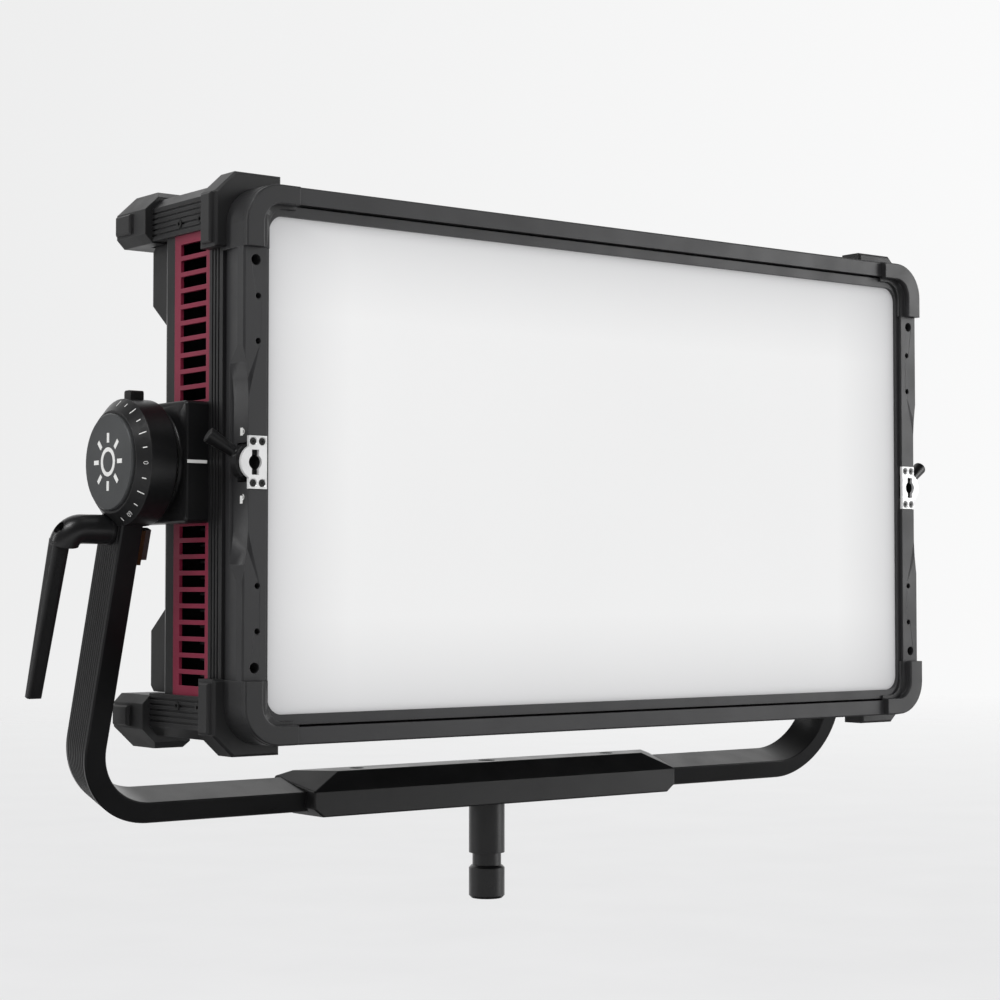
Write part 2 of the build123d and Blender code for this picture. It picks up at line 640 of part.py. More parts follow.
def control_panel():
    """The plate that carries the display, knobs and buttons."""
    plate = block((-112, 112), (MODULE_BACK_Y - 2.5, MODULE_BACK_Y - 0.5), (PORT_Z - 17, PORT_Z + 17))
    plate = plate - block((-31, 31), (MODULE_BACK_Y - 4, MODULE_BACK_Y), (PORT_Z - 13, PORT_Z + 13))
    for x in (-80, 80):
        plate = plate - rod_y(3.5, (MODULE_BACK_Y - 4, MODULE_BACK_Y), x, PORT_Z)
    for x in (-52, -40, 46):
        plate = plate - rod_y(4.3, (MODULE_BACK_Y - 4, MODULE_BACK_Y), x, PORT_Z - 4)
    return plate


def display_window():
    return block((-30.9, 30.9), (MODULE_BACK_Y - 2.5, MODULE_BACK_Y - 0.8), (PORT_Z - 12.9, PORT_Z + 12.9))


def control_knob(x):
    shaft = rod_y(3.0, (MODULE_BACK_Y - 6, MODULE_BACK_Y + 4), x, PORT_Z)
    knob = rod_y(10.5, (MODULE_BACK_Y + 0.2, MODULE_BACK_Y + 12), x, PORT_Z)
    for index in range(16):
        angle = math.radians(index * 22.5)
        groove = rod_y(0.9, (MODULE_BACK_Y + 2, MODULE_BACK_Y + 13), x + 10.7 * math.cos(angle),
                       PORT_Z + 10.7 * math.sin(angle))
        knob = knob - groove
    return knob + shaft


def panel_button(x):
    return rod_y(4.0, (MODULE_BACK_Y - 4, MODULE_BACK_Y + 1.5), x, PORT_Z - 4)


def power_inlet():
    """A locking mains inlet: a round barrel with keyways in a square flange."""
    flange = block((182.2, 213.8), (MODULE_BACK_Y - 2.4, MODULE_BACK_Y - 0.2), (PORT_Z - 13.8, PORT_Z + 13.8))
    barrel = rod_y(12.4, (MODULE_BACK_Y - 15, MODULE_BACK_Y + 4), 198, PORT_Z)
    socket = rod_y(10.6, (MODULE_BACK_Y - 11, MODULE_BACK_Y + 5), 198, PORT_Z)
    core = rod_y(4.0, (MODULE_BACK_Y - 12, MODULE_BACK_Y + 2), 198, PORT_Z)
    return flange + barrel - socket + core


def switch_frame():
    frame = block((238.2, 261.8), (MODULE_BACK_Y - 2.4, MODULE_BACK_Y + 1.2), (PORT_Z - 10.8, PORT_Z + 10.8))
    return frame - block((240.6, 259.4), (MODULE_BACK_Y - 4, MODULE_BACK_Y + 2), (PORT_Z - 7.6, PORT_Z + 7.6))


def power_switch():
    profile = [(-9.0, 0.0), (9.0, 0.0), (9.0, 3.4), (0.0, 1.4), (-9.0, 3.4)]
    rocker = extrude(make_face(Plane.XY * Polyline(*profile, close=True)), 7.0, both=True)
    return Pos(250, MODULE_BACK_Y - 0.4, PORT_Z) * Rot(0, 0, -SWITCH_TURN / 2) * rocker


def data_sockets():
    """Two five pin sockets, one in and one out."""
    sockets = []
    for x in (-250, -205):
        shell = rod_y(12.0, (MODULE_BACK_Y - 16, MODULE_BACK_Y + 1.5), x, PORT_Z)
        shell = shell - rod_y(9.6, (MODULE_BACK_Y - 10, MODULE_BACK_Y + 3), x, PORT_Z)
        for index in range(5):
            angle = math.radians(-54 + index * 72)
            pin = rod_y(1.2, (MODULE_BACK_Y - 11, MODULE_BACK_Y - 1), x + 5.2 * math.cos(angle),
                        PORT_Z + 5.2 * math.sin(angle))
            shell = shell + pin
        sockets.append(shell)
    return joined(sockets)


def pair(shape):
    """A right hand piece and its mirror image."""
    return joined([shape, left(shape)])


def build_yoke():
    crossbar = ON_YOKE * yoke_crossbar()
    casting = yoke_block() - crossbar
    for hole in block_bolt_holes():
        crossbar = crossbar - hole
        casting = casting - hole
    save("yoke_crossbar", crossbar)
    save("yoke_block", casting)
    save("block_screws", block_screws())
    save("spigot", spigot())
    save("spigot_bolt", spigot_bolt())
    bar_way = clamp_way(CLAMP_R + RUNNING, (ARM_IN - 1, ARM_OUT + 1))
    drum_way = clamp_way(CLAMP_R + AIR, (DRUM_IN - 1, ARM_OUT + 1))
    dial_way = clamp_way(LEVER_R + 1.0, (ARM_OUT - 1, DIAL_OUT + 2))
    save("yoke_arms", joined([yoke_arm(), left(yoke_arm() - bar_way)]))
    save("yoke_bends", pair(ON_YOKE * yoke_bend()))
    save("hub_drums", joined([drum(), left(drum() - catch_pocket() - drum_way)]))
    save("angle_dials", joined([angle_dial(), left(angle_dial() - dial_way)]))
    save("hub_caps", pair(hub_cap()))
    save("hub_bushings", pair(bushing()))
    save("friction_washers", pair(friction_washer()))
    save("release_catch", left(release_catch()))
    save("brake_shoe", left(shoe_layer((351.8, ARM_IN), (44, 68.5), 27)))
    save("shoe_plate", left(shoe_layer((346.4, 351.8), (44, 65.5), 22)))
    save("clamp_screw", left(clamp_screw()))
    save("tilt_lever", left(tilt_lever()))


def build_head():
    sided = {"side_rail": side_rail(), "accessory_lock": accessory_lock(), "fan_rotor": fan_rotor()}
    for name, shape in sided.items():
        save(name + "_right", ON_HEAD * shape)
        save(name + "_left", ON_HEAD * left(shape))
    pairs = {"side_panels": side_panel(), "tilt_brackets": tilt_bracket(), "side_vents": side_vents(),
             "trunnions": trunnion(), "accessory_plates": accessory_plate(), "fan_frames": fan_frame(),
             "fan_grilles": fan_grille()}
    for name, shape in pairs.items():
        save(name, ON_HEAD * pair(shape))
    fours = {"corner_bars": (corner_bar(), TILT_RISE), "rear_bumpers": (rear_bumper(), BUMPER_RISE)}
    for name, (shape, middle) in fours.items():
        low = upside(shape, middle)
        save(name, ON_HEAD * joined([shape, left(shape), low, left(low)]))
    guard = corner_guard()
    low_guard = mirror(guard, Plane.XY)
    save("corner_guards", ON_HEAD * joined([guard, left(guard), low_guard, left(low_guard)]))
    singles = {"top_rail": top_rail(), "bottom_rail": mirror(top_rail(), Plane.XY),
               "chassis_panels": joined([wall_panel(), upside(wall_panel())]),
               "bezel": bezel(), "diffuser": diffuser(), "mixing_box": mixing_box(), "led_board": led_board(),
               "led_emitters": led_emitters(), "heat_sink": heat_sink(), "rear_cover": rear_cover(),
               "power_module": power_module(), "control_module": control_module(),
               "circuit_boards": joined([psu_board(), driver_board()]), "front_bumpers": front_bumpers(),
               "frame_screws": joined(bar_screws() + latch_screws()),
               "control_panel": control_panel(), "display_window": display_window(),
               "intensity_knob": control_knob(-80), "colour_knob": control_knob(80),
               "mode_button": panel_button(-52), "menu_button": panel_button(-40),
               "set_button": panel_button(46), "power_inlet": power_inlet(),
               "switch_frame": switch_frame(), "power_switch": power_switch(), "data_sockets": data_sockets()}
    for name, shape in singles.items():
        save(name, ON_HEAD * shape)


build_yoke()
build_head()
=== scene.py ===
import json
import math

import bmesh
import bpy
from mathutils import Matrix, Vector


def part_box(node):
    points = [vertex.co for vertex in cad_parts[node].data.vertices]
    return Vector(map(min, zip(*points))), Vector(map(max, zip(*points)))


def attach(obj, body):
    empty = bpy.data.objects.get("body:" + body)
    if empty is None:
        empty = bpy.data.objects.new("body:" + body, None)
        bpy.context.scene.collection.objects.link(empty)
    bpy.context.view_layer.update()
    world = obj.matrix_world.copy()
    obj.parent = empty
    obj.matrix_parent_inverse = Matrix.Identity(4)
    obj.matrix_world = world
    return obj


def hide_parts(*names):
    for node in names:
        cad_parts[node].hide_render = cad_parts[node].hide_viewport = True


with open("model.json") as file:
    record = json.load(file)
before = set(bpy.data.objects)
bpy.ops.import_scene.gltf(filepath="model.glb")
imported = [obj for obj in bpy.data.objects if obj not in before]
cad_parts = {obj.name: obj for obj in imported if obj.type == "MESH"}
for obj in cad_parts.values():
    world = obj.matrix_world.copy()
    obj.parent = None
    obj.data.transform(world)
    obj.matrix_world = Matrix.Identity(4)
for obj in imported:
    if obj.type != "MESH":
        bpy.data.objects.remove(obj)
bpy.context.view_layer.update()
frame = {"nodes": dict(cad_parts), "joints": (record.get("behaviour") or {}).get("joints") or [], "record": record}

MM = 0.001
JOINTS = {joint["name"]: joint for joint in frame["joints"]}
BODY_OF = {node: body for body, nodes in frame["record"]["behaviour"]["bodies"].items() for node in nodes}
SLOT_OF = {row["node"]: row["material_slot"] for row in frame["record"]["subparts"]}

# Places that the details below are worked out from, all read from the frame.
TILT = Vector(JOINTS["tilt"]["pos_m"])
RAIL_LOW, RAIL_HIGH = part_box("side_rail_left")
FACE_Y = RAIL_LOW.y
HEAD_Z = (RAIL_LOW.z + RAIL_HIGH.z) / 2
ARM_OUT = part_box("yoke_arms")[1].x
DIAL_LOW, DIAL_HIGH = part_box("angle_dials")
DIAL_FACE = DIAL_HIGH.x
DIAL_RIM_R = (DIAL_HIGH.z - DIAL_LOW.z) / 2
DIAL_TIP_R = DIAL_RIM_R - 8.2 * MM
CAP_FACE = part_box("hub_caps")[1].x
BRACKET_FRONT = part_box("tilt_brackets")[0].y
LEAN_TURN = Matrix.Translation(TILT) @ Matrix.Rotation(math.radians(18.0), 4, "X")

# The yoke's bar, as in the CAD.
BAR_THICK = 16.0 * MM
BAR_HALF_DEPTH = 15.5 * MM
BAR_REACH = 252.0 * MM
BAR_TOP = 39.0 * MM
BAR_BEND_R = 59.0 * MM - BAR_THICK / 2
BAR_BEND_STEPS = 28
RIBS = 9
RIB_DEPTH = 0.35 * MM
RIB_MARGIN = 3.2 * MM

# Printed and raised marks.
PRINT = 0.12 * MM
SIGN = 0.3 * MM
DIAL_STEP = 15
DIAL_TURN = -3
NUMBERED = {0: "0", -4: "60"}
NUMBER_SIZE = 5.0 * MM
BRACKET_MARK_X = 336.5 * MM
LOCK_MARK_X = 323.8 * MM
LOCK_MARK_BEHIND = 8.5 * MM


# ---- meshes --------------------------------------------------------------------------------------

def new_piece(name, mesh, body, material):
    """A finished mesh as a piece of the object, riding on a body."""
    piece = bpy.data.objects.new(name, mesh)
    bpy.context.scene.collection.objects.link(piece)
    piece.data.materials.clear()
    piece.data.materials.append(material)
    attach(piece, body)
    return piece


def mesh_from(bm, name, sharp_angle=32.0):
    """Write a bmesh out as a mesh with smooth faces and sharp edges above an angle."""
    mesh = bpy.data.meshes.new(name)
    bmesh.ops.recalc_face_normals(bm, faces=bm.faces)
    bm.to_mesh(mesh)
    bm.free()
    mesh.polygons.foreach_set("use_smooth", [True] * len(mesh.polygons))
    mesh.set_sharp_from_angle(angle=math.radians(sharp_angle))
    return mesh


def finished(node):
    """The CAD node's own shape with smooth curved faces and its finish."""
    bm = bmesh.new()
    bm.from_mesh(frame["nodes"][node].data)
    bmesh.ops.remove_doubles(bm, verts=bm.verts, dist=2e-6)
    mesh = mesh_from(bm, node + "_finished", 24.0 if node in ROUNDED_NODES else 11.5)
    look = MAT[LOOK_OF.get(node, SLOT_OF[node])]
    piece = new_piece(node + "_finished", mesh, BODY_OF[node], look)
    flat = piece.modifiers.new("flat_faces", "WEIGHTED_NORMAL")
    flat.weight = 100
    flat.keep_sharp = True
    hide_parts(node)
    return piece


def add_plate(bm, place, outline, height):
    """A thin plate with an outline, standing up by a height along the place's third axis."""
    low = [bm.verts.new(place @ Vector((x, y, 0.0))) for x, y in outline]
    high = [bm.verts.new(place @ Vector((x, y, height))) for x, y in outline]
    bm.faces.new(list(reversed(low)))
    bm.faces.new(high)
    for index in range(len(outline)):
        after = (index + 1) % len(outline)
        bm.faces.new((low[index], low[after], high[after], high[index]))


def rectangle(x, y):
    return [(x[0], y[0]), (x[1], y[0]), (x[1], y[1]), (x[0], y[1])]


def add_arc(bm, place, radii, angles, height, steps=24):
    """A flat piece of a ring between two radii and two angles in degrees."""
    turns = [math.radians(angles[0] + (angles[1] - angles[0]) * index / steps) for index in range(steps + 1)]
    for first, second in zip(turns, turns[1:]):
        outline = [(radii[0] * math.cos(first), radii[0] * math.sin(first)),
                   (radii[1] * math.cos(first), radii[1] * math.sin(first)),
                   (radii[1] * math.cos(second), radii[1] * math.sin(second)),
                   (radii[0] * math.cos(second), radii[0] * math.sin(second))]
        add_plate(bm, place, outline, height)


# ---- materials -----------------------------------------------------------------------------------

class Nodes:
    """A small helper to wire a material's nodes."""

    def __init__(self, name):
        self.material = bpy.data.materials.new(name)
        self.material.use_nodes = True
        self.tree = self.material.node_tree
        self.tree.nodes.clear()
        self.output = self.tree.nodes.new("ShaderNodeOutputMaterial")
        self.shader = self.tree.nodes.new("ShaderNodeBsdfPrincipled")
        self.link(self.shader.outputs["BSDF"], self.output.inputs["Surface"])
        self.place = self.tree.nodes.new("ShaderNodeTexCoord").outputs["Object"]

    def link(self, source, target):
        self.tree.links.new(source, target)

    def noise(self, scale, detail=3.0, stretch=(1, 1, 1), roughness=0.5):
        mapping = self.tree.nodes.new("ShaderNodeMapping")
        mapping.inputs["Scale"].default_value = stretch
        self.link(self.place, mapping.inputs["Vector"])
        noise = self.tree.nodes.new("ShaderNodeTexNoise")
        noise.inputs["Scale"].default_value = scale
        noise.inputs["Detail"].default_value = detail
        noise.inputs["Roughness"].default_value = roughness
        self.link(mapping.outputs["Vector"], noise.inputs["Vector"])
        return noise.outputs["Fac"]

    def span(self, value, low, high, start=0.0, end=1.0):
        """Map a value from low..high to start..end, clamped."""
        node = self.tree.nodes.new("ShaderNodeMapRange")
        node.inputs["From Min"].default_value = low
        node.inputs["From Max"].default_value = high
        node.inputs["To Min"].default_value = start
        node.inputs["To Max"].default_value = end
        self.link(value, node.inputs["Value"])
        return node.outputs["Result"]

    def mix(self, factor, first, second):
        """Mix two colours, each a tuple or a socket."""
        node = self.tree.nodes.new("ShaderNodeMix")
        node.data_type = "RGBA"
        if isinstance(factor, (int, float)):
            node.inputs[0].default_value = factor
        else:
            self.link(factor, node.inputs[0])
        for socket, colour in ((node.inputs[6], first), (node.inputs[7], second)):
            if isinstance(colour, tuple):
                socket.default_value = (*colour, 1.0)
            else:
                self.link(colour, socket)
        return node.outputs[2]

    def math(self, operation, first, second=None, clamp=False):
        node = self.tree.nodes.new("ShaderNodeMath")
        node.operation = operation
        node.use_clamp = clamp
        for socket, value in zip(node.inputs, (first, second)):
            if isinstance(value, (int, float)):
                socket.default_value = value
            elif value is not None:
                self.link(value, socket)
        return node.outputs["Value"]

    def bump(self, height, strength, distance, rounding=0.0):
        """Fine relief, over edges that catch the light as if they had a small radius."""
        node = self.tree.nodes.new("ShaderNodeBump")
        if rounding:
            bevel = self.tree.nodes.new("ShaderNodeBevel")
            bevel.samples = 4
            bevel.inputs["Radius"].default_value = rounding
            self.link(bevel.outputs["Normal"], node.inputs["Normal"])
        node.inputs["Strength"].default_value = strength
        node.inputs["Distance"].default_value = distance
        self.link(height, node.inputs["Height"])
        self.link(node.outputs["Normal"], self.shader.inputs["Normal"])

    def edges(self, radius):
        """About one on rounded edges and corners, nought on flat faces."""
        bevel = self.tree.nodes.new("ShaderNodeBevel")
        bevel.samples = 4
        bevel.inputs["Radius"].default_value = radius
        geometry = self.tree.nodes.new("ShaderNodeNewGeometry")
        dot = self.tree.nodes.new("ShaderNodeVectorMath")
        dot.operation = "DOT_PRODUCT"
        self.link(bevel.outputs["Normal"], dot.inputs[0])
        self.link(geometry.outputs["Normal"], dot.inputs[1])
        return self.span(dot.outputs["Value"], 0.995, 0.9)


def coated(name, dark, light, rough, grain=2600.0, grain_depth=0.00003, wear=0.35, wear_colour=None, coat=0.0,
           metal=0.0, stretch=(1, 1, 1), rounding=0.0006, shine=0.5):
    """A coated or moulded surface: mottled colour, handled patches, fine grain and rubbed edges."""
    made = Nodes(name)
    cloud = made.noise(9.0, 5.0)
    patch = made.noise(38.0, 4.0)
    grain_value = made.noise(grain, 2.0, stretch)
    colour = made.mix(made.span(cloud, 0.35, 0.68), dark, light)
    if wear:
        worn = wear_colour or tuple(min(1.0, 0.03 + 2.1 * channel) for channel in light)
        scuff = made.math("MULTIPLY", made.edges(0.0009), made.span(patch, 0.42, 0.72, 0.15, wear))
        colour = made.mix(scuff, colour, worn)
    made.link(colour, made.shader.inputs["Base Color"])
    rubbed = made.math("ADD", made.span(patch, 0.3, 0.75, rough - 0.05, rough + 0.07),
                       made.span(grain_value, 0.3, 0.7, -0.03, 0.03), clamp=True)
    made.link(rubbed, made.shader.inputs["Roughness"])
    made.shader.inputs["Metallic"].default_value = metal
    made.shader.inputs["Specular IOR Level"].default_value = shine
    made.shader.inputs["Coat Weight"].default_value = coat
    made.shader.inputs["Coat Roughness"].default_value = 0.25
    made.bump(grain_value, 0.35, grain_depth, rounding)
    return made.material


def brushed(name, colour, rough, stretch, metal=1.0):
    """Bare metal with brush marks along one axis."""
    made = Nodes(name)
    lines = made.noise(900.0, 4.0, stretch, 0.7)
    cloud = made.noise(24.0, 3.0)
    dull = tuple(channel * 0.78 for channel in colour)
    made.link(made.mix(made.span(cloud, 0.3, 0.7), dull, colour), made.shader.inputs["Base Color"])
    made.link(made.span(lines, 0.3, 0.7, rough - 0.08, rough + 0.1), made.shader.inputs["Roughness"])
    made.shader.inputs["Metallic"].default_value = metal
    made.bump(lines, 0.12, 0.00002, 0.0003)
    return made.material


def diffuser_material():
    """Opal sheet with a painted glow, and painted shade that darkens its colour and its glow towards its edges."""
    made = Nodes("opal_diffuser")
    low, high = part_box("diffuser")
    centre, half = (low + high) / 2, (high - low) / 2
    parts = made.tree.nodes.new("ShaderNodeSeparateXYZ")
    made.link(made.place, parts.inputs[0])
    shade = None
    # Painted shade: a mask that is full in the middle of the sheet and falls to nought at its edges.
    for axis, middle, reach in (("X", centre.x, half.x), ("Z", centre.z, half.z)):
        offset = made.math("ABSOLUTE", made.math("SUBTRACT", parts.outputs[axis], middle))
        margin = made.math("SUBTRACT", reach, offset)
        edge = made.span(margin, 0.0, 0.07, 0.0, 1.0)
        shade = edge if shade is None else made.math("MULTIPLY", shade, edge)
    soft = made.math("POWER", shade, 0.45)
    cloud = made.noise(3.0, 2.0)
    # Painted glow that stands in for the sheet's brightness, weaker where the edges are shaded; the colour below
    # is painted darker at the edges too.
    painted_glow = made.math("ADD", made.math("MULTIPLY", soft, 0.22), made.span(cloud, 0.3, 0.7, 0.04, 0.06))
    made.link(made.mix(soft, (0.5, 0.5, 0.51), (0.56, 0.56, 0.56)), made.shader.inputs["Base Color"])
    made.shader.inputs["Emission Color"].default_value = (1.0, 1.0, 1.0, 1.0)
    made.link(painted_glow, made.shader.inputs["Emission Strength"])
    made.shader.inputs["Roughness"].default_value = 0.62
    made.shader.inputs["Specular IOR Level"].default_value = 0.12
    made.bump(made.noise(1500.0, 2.0), 0.1, 0.00002)
    return made.material


MAT = {
    "yoke_black": coated("black_bar_coat", (0.003, 0.003, 0.0034), (0.0055, 0.0055, 0.006), 0.34, coat=0.1,
                         shine=0.35),
    "steel_black": coated("black_steel_paint", (0.0045, 0.0045, 0.005), (0.008, 0.008, 0.0085), 0.33,
                          coat=0.15),
    "cast_black": coated("cast_black_paint", (0.003, 0.003, 0.0034), (0.0055, 0.0055, 0.006), 0.36,
                         grain=1700.0, rounding=0.0009, shine=0.45),
    "guard_black": coated("cast_guard_paint", (0.013, 0.013, 0.0138), (0.019, 0.019, 0.02), 0.42,
                          grain=1700.0, rounding=0.0009),
    "screw_black": coated("black_oxide", (0.006, 0.006, 0.006), (0.012, 0.012, 0.012), 0.3, wear=0.5,
                          rounding=0.0002),
    "frame_black": coated("frame_anodised", (0.018, 0.018, 0.0192), (0.024, 0.024, 0.0254), 0.42,
                          grain=3600.0, grain_depth=0.00002),
    "chassis_black": coated("chassis_coat", (0.007, 0.007, 0.0075), (0.012, 0.012, 0.0125), 0.38),
    "vent_red": coated("raspberry_anodised", (0.17, 0.008, 0.03), (0.23, 0.014, 0.045), 0.4, wear=0.15,
                       metal=0.2, wear_colour=(0.5, 0.12, 0.2), rounding=0.0003),
    "bumper_rubber": coated("bumper_moulding", (0.0095, 0.0095, 0.01), (0.015, 0.015, 0.0155), 0.46,
                            grain=1300.0, grain_depth=0.00005, rounding=0.001),
    "dial_plastic": coated("dial_plastic", (0.006, 0.006, 0.0065), (0.01, 0.01, 0.0105), 0.4,
                           rounding=0.0004),
    "cap_grey": brushed("cap_grey", (0.075, 0.078, 0.08), 0.42, (1, 6, 1), 0.5),
    "zinc_steel": brushed("zinc_steel", (0.8, 0.8, 0.8), 0.34, (1, 1, 9), 0.35),
    "bearing_bronze": brushed("shoe_brass", (0.16, 0.1, 0.05), 0.35, (1, 1, 9)),
    "dull_steel": brushed("dull_steel", (0.2, 0.19, 0.18), 0.4, (1, 1, 9)),
    "washer_polymer": coated("washer_polymer", (0.5, 0.5, 0.48), (0.6, 0.6, 0.58), 0.4, wear=0),
    "diffuser_white": diffuser_material(),
    "reflector_white": coated("reflector_white", (0.7, 0.7, 0.7), (0.78, 0.78, 0.78), 0.6, wear=0),
    "sink_aluminium": brushed("sink_aluminium", (0.035, 0.035, 0.037), 0.4, (1, 9, 9), 0.5),
    "board_green": coated("board_green", (0.01, 0.05, 0.02), (0.02, 0.08, 0.03), 0.35, wear=0),
    "led_yellow": coated("led_yellow", (0.7, 0.55, 0.12), (0.8, 0.65, 0.2), 0.35, wear=0),
    "fan_plastic": coated("fan_plastic", (0.012, 0.012, 0.012), (0.018, 0.018, 0.018), 0.45),
    "grille_steel": coated("grille_steel", (0.02, 0.02, 0.02), (0.03, 0.03, 0.03), 0.35),
    "display_glass": coated("display_glass", (0.006, 0.008, 0.01), (0.01, 0.012, 0.014), 0.12,
                            grain_depth=0.000002, wear=0, coat=0.6),
    "knob_plastic": coated("knob_plastic", (0.01, 0.01, 0.01), (0.016, 0.016, 0.016), 0.45, grain=1500.0),
    "socket_plastic": coated("socket_plastic", (0.016, 0.016, 0.017), (0.024, 0.024, 0.025), 0.35),
}
PRINT_WHITE = coated("printed_white", (0.6, 0.6, 0.59), (0.7, 0.7, 0.69), 0.5, wear=0, rounding=0)


# ---- finished shapes of the CAD nodes ------------------------------------------------------------

BAR_NODES = ("yoke_crossbar", "yoke_bends", "yoke_arms")
# Nodes that look a little different from the rest of their slot.
LOOK_OF = {"shoe_plate": "dull_steel", "corner_guards": "guard_black"}
# Nodes with small fillets, whose facets meet at steeper angles than those of the other curved faces.
ROUNDED_NODES = ("hub_drums", "tilt_lever", "release_catch", "accessory_lock_left", "accessory_lock_right",
                 "intensity_knob", "colour_knob")


def finish_nodes():
    for node in sorted(frame["nodes"]):
        if node not in BAR_NODES:
            finished(node)


# ---- the yoke's bar ------------------------------------------------------------------------------

def bar_section():
    """Outline of the bar across its run: (depth, outward). The outer face has fine ribs."""
    chamfer = 1.0 * MM
    inner_chamfer = 0.6 * MM
    outer = BAR_THICK / 2
    points = [(-BAR_HALF_DEPTH, -outer + inner_chamfer),
              (-BAR_HALF_DEPTH, outer - chamfer),
              (-BAR_HALF_DEPTH + chamfer, outer)]
    half_ribbed = BAR_HALF_DEPTH - RIB_MARGIN
    pitch = 2 * half_ribbed / RIBS
    for index in range(RIBS):
        start = -half_ribbed + index * pitch
        points += [(start, outer),
                   (start + 0.22 * pitch, outer - RIB_DEPTH),
                   (start + 0.42 * pitch, outer - RIB_DEPTH),
                   (start + 0.64 * pitch, outer)]
    points += [(BAR_HALF_DEPTH - chamfer, outer),
               (BAR_HALF_DEPTH, outer - chamfer),
               (BAR_HALF_DEPTH, -outer + inner_chamfer),
               (BAR_HALF_DEPTH - inner_chamfer, -outer),
               (-BAR_HALF_DEPTH + inner_chamfer, -outer)]
    return points


def bar_path():
    """Stations along the middle of the bar: (x, down, outward x, outward down)."""
    half_width = ARM_OUT - BAR_THICK / 2
    low = BAR_REACH - BAR_BEND_R
    stations = [(-half_width, BAR_TOP, -1.0, 0.0), (-half_width, low, -1.0, 0.0)]
    for index in range(1, BAR_BEND_STEPS):
        turn = math.pi / 2 * index / BAR_BEND_STEPS
        x = -half_width + BAR_BEND_R - BAR_BEND_R * math.cos(turn)
        down = low + BAR_BEND_R * math.sin(turn)
        stations.append((x, down, -math.cos(turn), math.sin(turn)))
    stations.append((-half_width + BAR_BEND_R, BAR_REACH, 0.0, 1.0))
    mirrored = [(-x, down, -out_x, out_down) for x, down, out_x, out_down in reversed(stations)]
    return stations + mirrored


def yoke_bar():
    """One continuous ribbed bar in place of the CAD's five lengths."""
    section = bar_section()
    bm = bmesh.new()
    rings = []
    for x, down, out_x, out_down in bar_path():
        ring = []
        for depth, outward in section:
            place = Vector((x + out_x * outward, depth, -down - out_down * outward))
            ring.append(bm.verts.new(LEAN_TURN @ place))
        rings.append(ring)
    for first, second in zip(rings, rings[1:]):
        for index in range(len(section)):
            after = (index + 1) % len(section)
            bm.faces.new((first[index], first[after], second[after], second[index]))
    bm.faces.new(rings[0])
    bm.faces.new(list(reversed(rings[-1])))
    piece = new_piece("yoke_bar", mesh_from(bm, "yoke_bar", 20.0), "yoke", MAT["yoke_black"])
    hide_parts(*BAR_NODES)


# ---- printed marks -------------------------------------------------------------------------------

def side_place(side, x, y, z):
    """A place on a face that looks to one side: first axis to the front, second up, third outwards."""
    return Matrix(((0, 0, side, x), (-1, 0, 0, y), (0, 1, 0, z), (0, 0, 0, 1)))


def dial_place(side, angle):
    """A place on the dial's cone: first axis outwards from the middle, third off its face."""
    fall = DIAL_RIM_R - DIAL_TIP_R
    depth = DIAL_FACE - ARM_OUT
    middle = Vector((side * (DIAL_FACE + ARM_OUT) / 2, 0, 0))
    ray = Vector((0, -math.cos(angle), math.sin(angle)))
    run = (ray * fall - Vector((side * depth, 0, 0))).normalized()
    off = (ray * depth + Vector((side * fall, 0, 0))).normalized()
    across = off.cross(run)
    place = Matrix((run, across, off)).transposed().to_4x4()
    place.translation = TILT + middle + ray * (DIAL_RIM_R + DIAL_TIP_R) / 2
    return place @ Matrix.Translation((0.9 * MM, 0, 0))


def dial_marks():
    """A tick each 15 degrees and a longer one each 30, either way from the nought at the front."""
    bm = bmesh.new()
    for side in (-1, 1):
        for step in range(-5, 7):
            if step in NUMBERED:
                continue
            half = (2.6 if step % 2 == 0 else 1.5) * MM
            place = dial_place(side, math.radians(DIAL_STEP * step + DIAL_TURN))
            add_plate(bm, place, rectangle((-half, half), (-0.35 * MM, 0.35 * MM)), PRINT)
    new_piece("dial_ticks", mesh_from(bm, "dial_ticks"), "yoke", PRINT_WHITE)


def numeral(name, text, place, size):
    """A number as flat raised print."""
    curve = bpy.data.curves.new(name, "FONT")
    curve.body = text
    curve.size = size
    curve.extrude = PRINT / 2
    curve.offset = -0.1 * MM
    curve.align_x = "CENTER"
    curve.align_y = "CENTER"
    holder = bpy.data.objects.new(name, curve)
    bpy.context.scene.collection.objects.link(holder)
    bpy.context.view_layer.update()
    mesh = bpy.data.meshes.new_from_object(holder.evaluated_get(bpy.context.evaluated_depsgraph_get()))
    bpy.data.objects.remove(holder)
    mesh.transform(place)
    return mesh


def dial_numbers():
    for side, label in ((-1, "left"), (1, "right")):
        for step, text in NUMBERED.items():
            place = dial_place(side, math.radians(DIAL_STEP * step + DIAL_TURN))
            place = place @ Matrix.Rotation(math.radians(-90), 4, "Z")
            if side == 1:
                place = place @ Matrix.Rotation(math.pi, 4, "Z")
            mesh = numeral("dial_number", text, place, NUMBER_SIZE)
            new_piece(f"dial_number_{label}_{text}", mesh, "yoke", PRINT_WHITE)


def cap_marks():
    """A plain sun sign in the middle of each hub cap."""
    bm = bmesh.new()
    for side in (-1, 1):
        place = side_place(side, side * CAP_FACE, TILT.y, TILT.z)
        add_arc(bm, place, (7.0 * MM, 9.8 * MM), (0, 360), SIGN, 48)
        for index in range(8):
            turned = place @ Matrix.Rotation(math.radians(45 * index), 4, "Z")
            add_plate(bm, turned, rectangle((13.0 * MM, 19.5 * MM), (-1.5 * MM, 1.5 * MM)), SIGN)
    new_piece("cap_marks", mesh_from(bm, "cap_marks"), "yoke", PRINT_WHITE)


